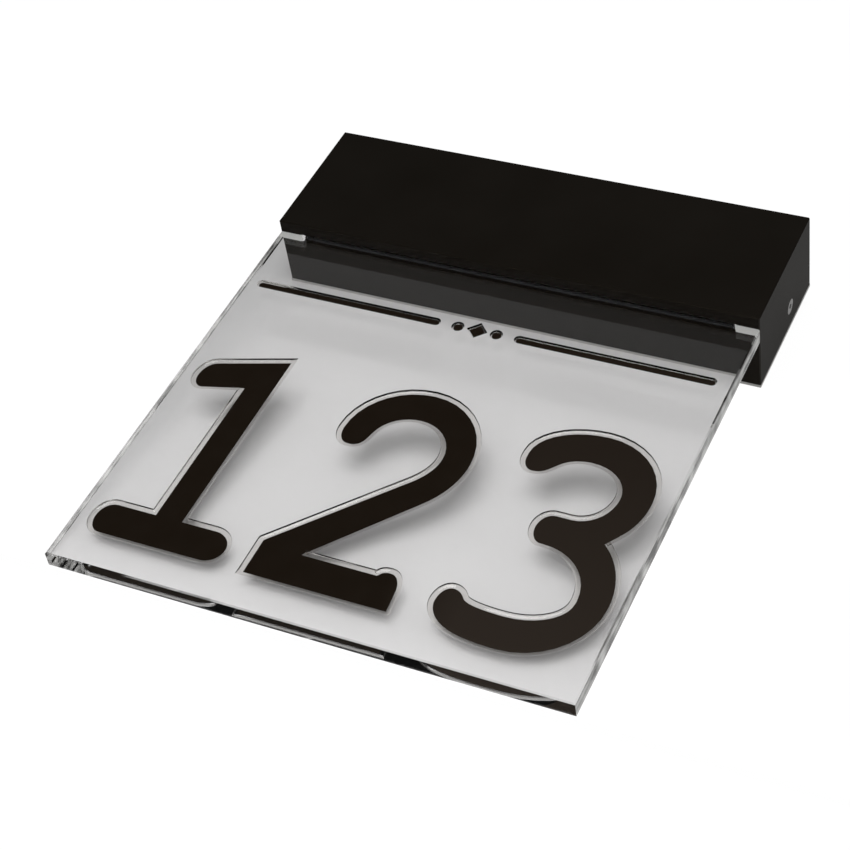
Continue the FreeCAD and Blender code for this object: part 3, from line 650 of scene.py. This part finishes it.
def letLampsThrough(finish):  # real light passes a clear plate, so its shadow is only a little darker
    rays = finish.node("ShaderNodeLightPath", take="Is Shadow Ray")
    through = finish.node("ShaderNodeBsdfTransparent", None, {"Color": (*acrylicLook["shade"], 1)})
    finish.link(finish.node("ShaderNodeMixShader", None, {0: rays, 1: finish.surface, 2: through}))


def clearAcrylic(name, rough, colour):
    finish = Finish(name, clear=1.0, ior=acrylicLook["ior"], rough=rough, colour=colour)
    letLampsThrough(finish)
    return finish.material


sideLook = {
    "dark": (0.10, 0.098, 0.094),
    "bright": (0.92, 0.92, 0.90),
    "clear": 0.35,
    "rough": 0.08,
    "streak": 2.2 * mm,
    "block": 11 * mm,
    "level": 0.42,  # noise at which a streak starts to show
    "contrast": 5.0,
}


def paintedLightSide():  # the long cut sides, with painted light and painted shade in streaks the way the saw went, for the light they gather from the whole plate
    look = sideLook
    finish = Finish("paintedLightSide", clear=look["clear"], ior=acrylicLook["ior"], rough=look["rough"])
    streaks = finish.noise(look["streak"], scale=(1, 1, 0.05))
    blocks = finish.noise(look["block"], detail=1.0)
    # painted light and painted shade: bright and dark streaks in the base colour
    paintedStreaks = (streaks * 0.5 + blocks * 0.5 - look["level"]) * look["contrast"]
    finish.set("colour", finish.between(paintedStreaks, look["dark"], look["bright"]))
    letLampsThrough(finish)
    return finish.material


def sawnShoulder():  # unpolished edges that butt on the housing
    finish = Finish("sawnAcrylic", shine=0.4)
    strokes = finish.noise(0.4 * mm, scale=(0.15, 1, 1))
    finish.set("colour", finish.between(strokes, (0.62, 0.63, 0.61), (0.78, 0.79, 0.77)))
    finish.set("rough", 0.6 + 0.2 * strokes)
    finish.set("normal", finish.bump(strokes, strength=0.3, depth=0.04 * mm))
    return finish.material


paintLook = {
    "thick": (0.0088, 0.0060, 0.0038),
    "thin": (0.0125, 0.0092, 0.0066),
    # painted sheen: the paint's lighter tone where a reflection is painted in, to the right and down
    "dustAndSheen": (0.0255, 0.0198, 0.0158),
    "sheenFrom": (25 * mm, -80 * mm),  # x and z where the painted sheen begins, to the right and down
    "sheenOver": (35 * mm, 160 * mm),  # and how far on it is at its most
    "sheenAtTop": 0.2,  # share of it where it begins
    "flow": 12 * mm,
}


def pocketPaint():
    look = paintLook
    finish = Finish("pocketPaint", shine=0.0)
    flow = finish.noise(look["flow"], detail=3.0)
    x, y, z = finish.axes()
    (fromX, fromZ), (overX, overZ) = look["sheenFrom"], look["sheenOver"]
    # painted sheen, lighter to the right and down, stands in for a reflection off the plate's front
    across = finish.spread((x - fromX) / overX, 0.0, 1.0)
    down = finish.spread((fromZ - z) / overZ, look["sheenAtTop"], 1.0)
    painted = finish.between(flow, look["thick"], look["thin"])
    finish.set("colour", finish.between(across * down, painted, look["dustAndSheen"]))
    finish.set("rough", 0.42 + 0.12 * flow)
    finish.set("normal", finish.bump(flow, strength=0.05, depth=0.02 * mm))
    return finish.material


plateLow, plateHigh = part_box("number_plate")
floorDepth = plateLow.y + plateLook["pocket"] * mm
shoulderHeight = plateHigh.z - plateLook["tongue"] * mm
body, wall, pocketFloor, shoulder, side = range(5)  # the plate's finishes, in their order
plateFinishes = (
    clearAcrylic("clearAcrylic", rough=0.0, colour=acrylicLook["glass"]),
    clearAcrylic("milledWall", rough=0.05, colour=acrylicLook["matt"]),  # cutter marks make it a little matt
    pocketPaint(),
    sawnShoulder(),
    paintedLightSide(),
)


def finishOf(face):  # by its place and by the way it faces
    look = plateLook
    middle, way = face.center, face.normal
    near, sideMargin, endMargin = (look[name] * mm for name in ("near", "sideMargin", "endMargin"))
    milled = (abs(middle.x) < plateHigh.x - sideMargin
              and plateLow.z + endMargin < middle.z < shoulderHeight - endMargin)
    if milled and way.y < -look["square"] and abs(middle.y - floorDepth) < hair:
        return pocketFloor
    if milled and plateLow.y + hair < middle.y < floorDepth + hair:
        return wall
    if way.z > look["upward"] and abs(middle.z - shoulderHeight) < near:
        return shoulder
    if abs(way.x) > look["square"] and abs(middle.x) > plateHigh.x - near:
        return side
    return body


def markEdges(plate):  # flat faces stay flat, and there is a crisp line wherever the finish changes
    flat = plateLook["flat"]
    alone(plate)
    bpy.ops.object.shade_smooth_by_angle(angle=math.radians(plateLook["sharpest"]))
    shape = bmesh.new()
    shape.from_mesh(plate.data)
    for edge in shape.edges:
        kinds = {(face.material_index, max(map(abs, face.normal)) > flat) for face in edge.link_faces}
        if len(kinds) > 1:
            edge.smooth = False
    shape.to_mesh(plate.data)
    shape.free()


plate = millPlate(floorDepth, shoulderHeight)
plate.data.materials.clear()
for material in plateFinishes:
    plate.data.materials.append(material)
for face in plate.data.polygons:
    face.material_index = finishOf(face)
markEdges(plate)
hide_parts("number_plate")
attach(plate, "plate")
print("stage: number plate milled,", len(plate.data.polygons), "faces")


# table, lamps and camera

tableLook = {
    "near": (0.0, -36.0),  # y and z, in mm, of the two lines that the sign rests on
    "far": (-27.6, -253.0),
    "sheetEnd": -254.0,  # z where the pale sheet under the sign ends, in mm
    "drop": 6.0,  # in mm: the table lies lower than the sheet
    "size": 3.0,  # half the width of each, in metres
    "rough": 0.9,
    "pale": 0.52,
    "dark": 0.06,  # the table as the plate's lower end mirrors it
    "white": 1.09,  # strength of the glow that the camera alone sees
    "washed": 0.88,  # the glow's share in what it sees
}


def paleFinish(name, mirrored):  # nearly white to the camera, and of the given tone in a mirror
    look = tableLook
    finish = Finish(name, rough=look["rough"], shine=0.0)
    outputs = finish.node("ShaderNodeLightPath").socket.node.outputs
    seen, shadow, glossy, refracted = (Reading(finish, outputs["Is %s Ray" % kind])
                                       for kind in ("Camera", "Shadow", "Glossy", "Transmission"))
    inMirror = glossy.maths("SUBTRACT", glossy, refracted, clamp=True)
    finish.set("colour", finish.between(inMirror, grey(look["pale"]), grey(mirrored)))
    glow = finish.node("ShaderNodeEmission", None, {"Color": (1, 1, 1, 1), "Strength": look["white"]})
    lit = finish.node("ShaderNodeMixShader", None, {0: seen * look["washed"], 1: finish.surface, 2: glow})
    back = finish.node("ShaderNodeNewGeometry", take="Backfacing")
    hidden = shadow.maths("MAXIMUM", shadow, back)  # lamps shine through it, and its underside isn't seen
    clear = finish.node("ShaderNodeBsdfTransparent")
    finish.link(finish.node("ShaderNodeMixShader", None, {0: hidden, 1: lit, 2: clear}))
    finish.material.cycles.emission_sampling = "NONE"  # the glow is seen and lights nothing
    return finish.material


def layPlane(name, direction, drop, mirrored):  # from the sheet's end up the sign (1) or away from it (-1)
    look = tableLook
    (nearY, nearZ), (farY, farZ) = look["near"], look["far"]
    along = Vector((0, nearY - farY, nearZ - farZ)).normalized()
    end = Vector((0, farY * mm, farZ * mm)) + along * (look["sheetEnd"] - farZ) * mm
    middle = end + along * direction * look["size"] + Vector((0, drop * mm, 0))
    lean = math.pi / 2 - math.atan2(along.y, along.z)
    bpy.ops.object.select_all(action="DESELECT")
    bpy.ops.mesh.primitive_plane_add(size=2 * look["size"], location=middle, rotation=(lean, 0, 0))
    plane = bpy.context.object
    plane.name = name
    settle(plane)
    plane.data.materials.append(paleFinish(name, mirrored))


lamps = {  # name: place, aimed at, width, height, watts
    "overheadLamp": ((-0.05, -1.9, -0.15), (0, -0.03, -0.13), 1.25, 1.25, 22),
    "sideLamp": ((1.9, -0.7, -0.2), (0.05, -0.02, -0.05), 0.9, 0.7, 5),
    "fillLamp": ((0.3, -1.6, -1.7), (0, -0.03, -0.13), 1.4, 1.4, 8),
    "backLampLeft": ((-1.2, 1.5, 0.9), (0, 0, -0.1), 1.2, 1.2, 26),
    "backLampRight": ((1.3, 1.4, 0.3), (0, 0, -0.1), 1.2, 1.2, 14),
}


def hangLamps():
    for name, (place, aim, width, height, watts) in lamps.items():
        bpy.ops.object.light_add(type="AREA", location=place)
        lamp = bpy.context.object
        lamp.name = name
        lamp.data.shape = "RECTANGLE"
        lamp.data.size, lamp.data.size_y = width, height
        lamp.data.energy = watts
        lamp.visible_transmission = False  # the plate already lets its light through
        lamp.rotation_euler = (Vector(aim) - Vector(place)).to_track_quat("-Z", "Y").to_euler()


worldLook = {"light": 0.30, "mirrored": 0.12, "refracted": 0.42, "seen": 1.0}  # strengths


def lightWorld():
    world = bpy.data.worlds.new("studio")
    bpy.context.scene.world = world
    world.use_nodes = True
    graph = Graph(world.node_tree)
    strength = worldLook["light"]
    for kind, name in (("Glossy", "mirrored"), ("Transmission", "refracted"), ("Camera", "seen")):
        rays = graph.node("ShaderNodeLightPath", take="Is %s Ray" % kind)
        strength = graph.spread(rays, strength, worldLook[name])
    air = graph.node("ShaderNodeBackground", None, {"Color": (1, 1, 1, 1), "Strength": strength})
    output = graph.tree.nodes.new("ShaderNodeOutputWorld")
    graph.tree.links.new(air.socket, output.inputs["Surface"])


shot = {
    "place": (348.46, -675.95, -689.60),  # in mm
    "turn": (131.815, -24.607, 7.940),  # in degrees
    "lens": 89.853,  # in mm, as the sensor's width is
    "sensor": 36,
    "clipEnd": 50,
}


def setCamera():
    bpy.ops.object.camera_add(location=Vector(shot["place"]) * mm,
                              rotation=[math.radians(angle) for angle in shot["turn"]])
    camera = bpy.context.object
    camera.name = "photoCamera"
    camera.data.sensor_width = shot["sensor"]
    camera.data.lens = shot["lens"]
    camera.data.clip_end = shot["clipEnd"]
    bpy.context.scene.camera = camera


layPlane("sheet", 1, 0, tableLook["pale"])
layPlane("table", -1, tableLook["drop"], tableLook["dark"])
hangLamps()
lightWorld()
setCamera()
bpy.context.scene.view_settings.view_transform = "Standard"
print("stage: table, lamps and camera")
